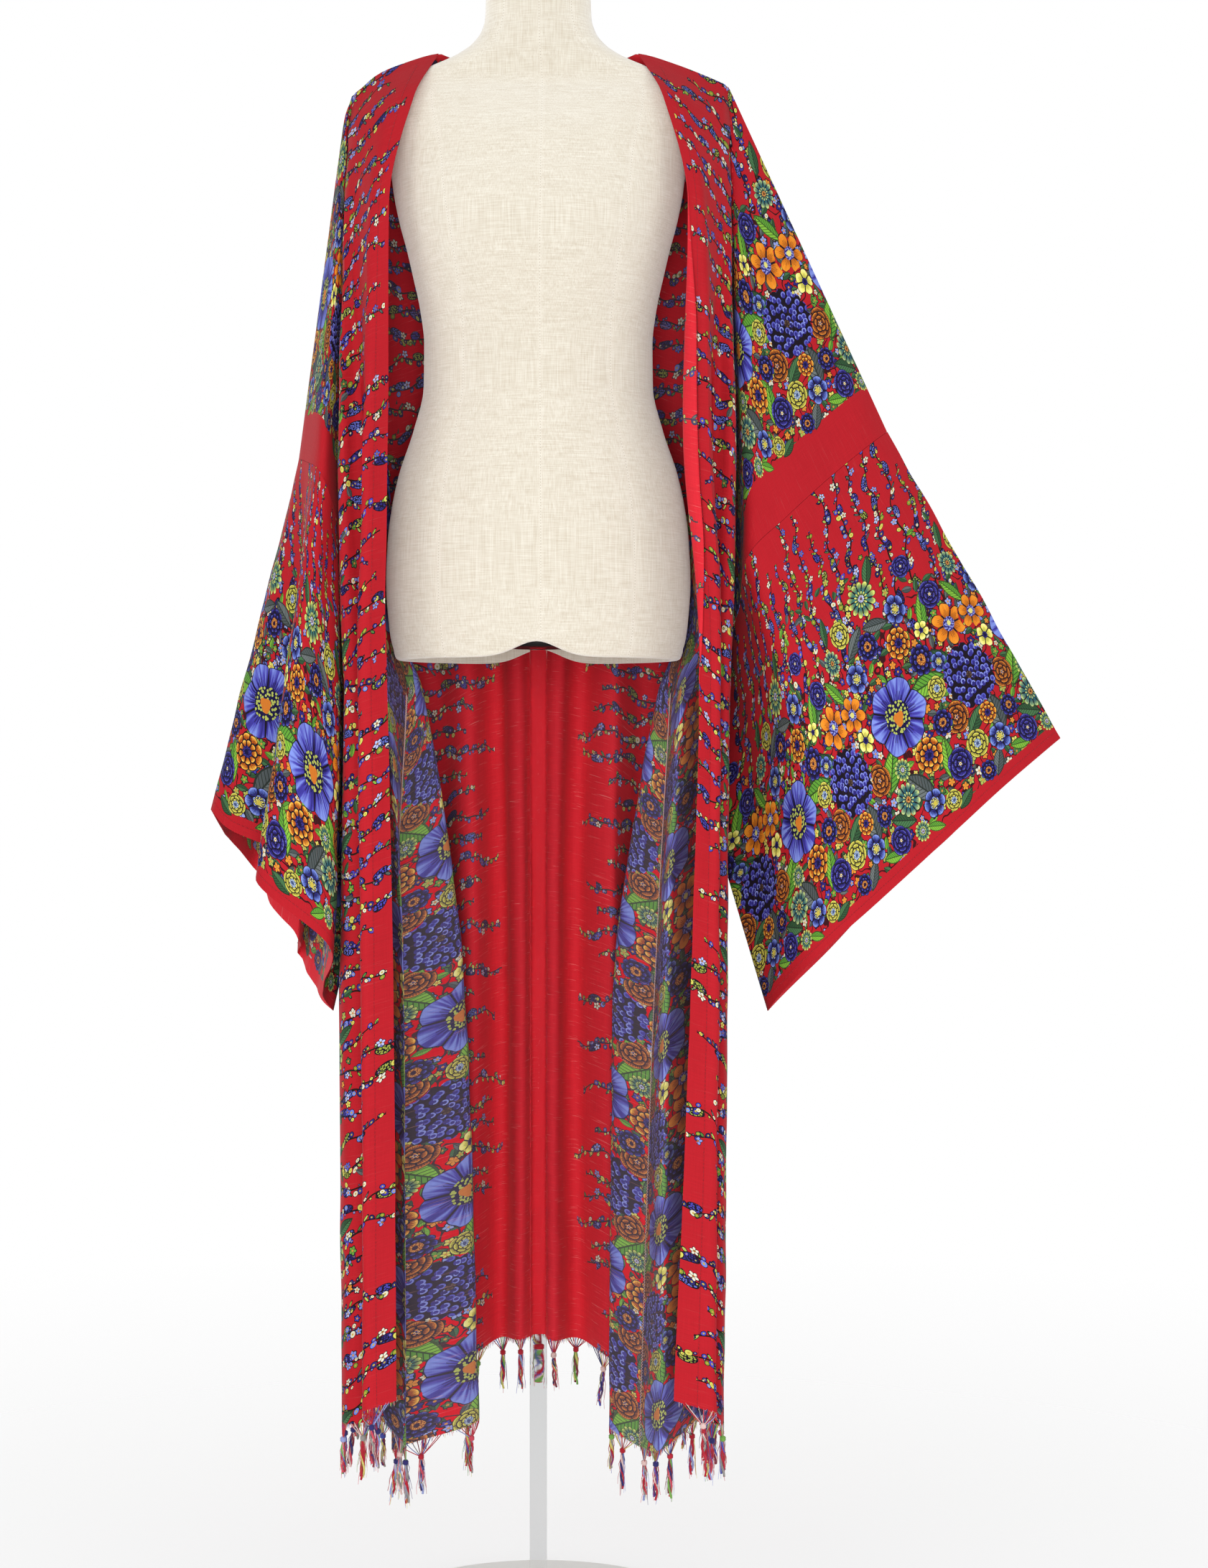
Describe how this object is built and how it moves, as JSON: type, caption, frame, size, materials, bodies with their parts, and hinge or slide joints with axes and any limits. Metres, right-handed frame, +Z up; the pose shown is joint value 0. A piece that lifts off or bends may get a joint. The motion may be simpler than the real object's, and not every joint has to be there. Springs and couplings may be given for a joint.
{
  "type": "kimono robe on dress form",
  "caption": "Long open kimono robe with deep wide sleeves, flower borders and a fringed hem, hanging on a limbless linen dress form on a rod and a round base.",
  "frame": {"origin": "centre of the underside of the round base, on the floor", "axes": "+Z up; -Y is the robe's open front; +X is the wearer's left"},
  "size_m": [0.8951, 0.3666, 1.697],
  "materials": {
    "cloth": "red slub weave with printed flower borders",
    "fringe": "knotted yarn tassels of mixed colours",
    "linen": "ecru linen cover",
    "black": "matt black",
    "clear": "clear acrylic",
    "white": "satin white powder coat"
  },
  "bodies": {
    "root": {"back_panel": "cloth", "front_panel_right": "cloth", "sleeve_right": "cloth", "fringe_front_right": "fringe", "front_panel_left": "cloth", "sleeve_left": "cloth", "fringe_front_left": "fringe", "fringe_back": "fringe", "dress_form": "linen", "socket": "black", "pole": "clear", "base": "white"}
  },
  "joints": []
}
